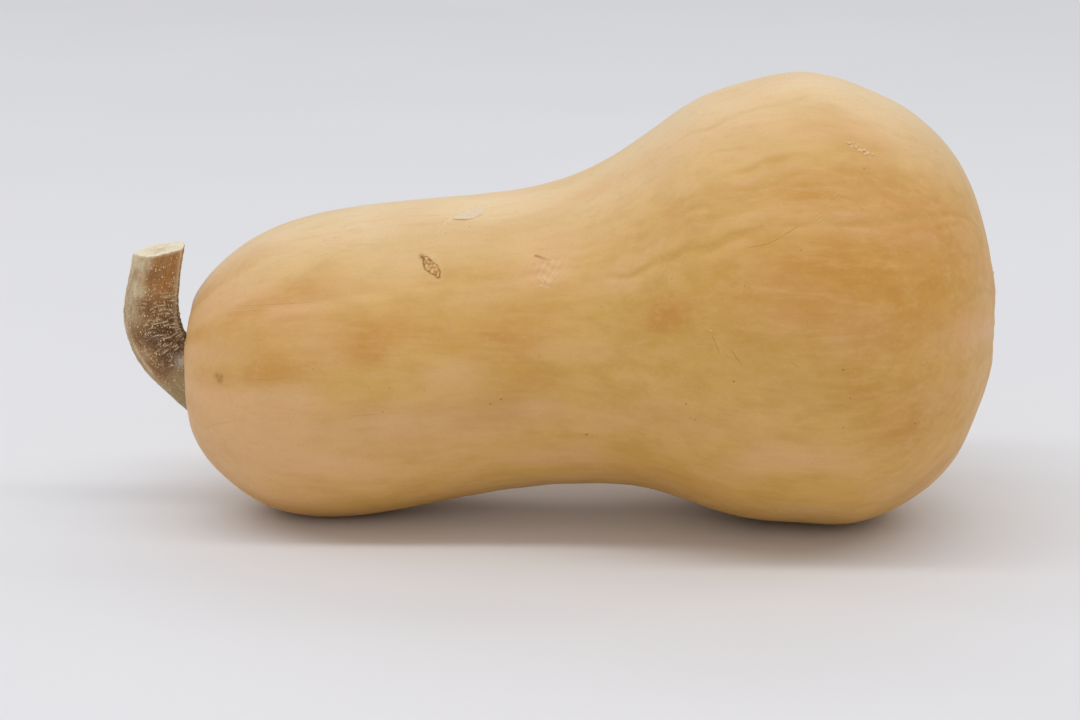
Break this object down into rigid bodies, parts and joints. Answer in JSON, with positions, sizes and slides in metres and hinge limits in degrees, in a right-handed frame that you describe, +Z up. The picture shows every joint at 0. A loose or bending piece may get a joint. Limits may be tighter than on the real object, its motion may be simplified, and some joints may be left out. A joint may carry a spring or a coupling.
{
  "type": "butternut squash",
  "caption": "Whole butternut squash lying on its side, with a slim straight neck, a round ribbed bulb and a curved dry stem cut off at the top.",
  "frame": {"origin": "on the resting plane, under the middle of the whole squash's box, stem included", "axes": "+X runs along the squash from the stem end to the blossom end, +Z is up as it lies, -Y is the side that shows its marks"},
  "size_m": [0.2716, 0.1402, 0.1412],
  "materials": {
    "rind": "satin",
    "stem_bark": "matte"
  },
  "bodies": {
    "root": {"fruit": "rind", "stem": "stem_bark"}
  },
  "joints": []
}
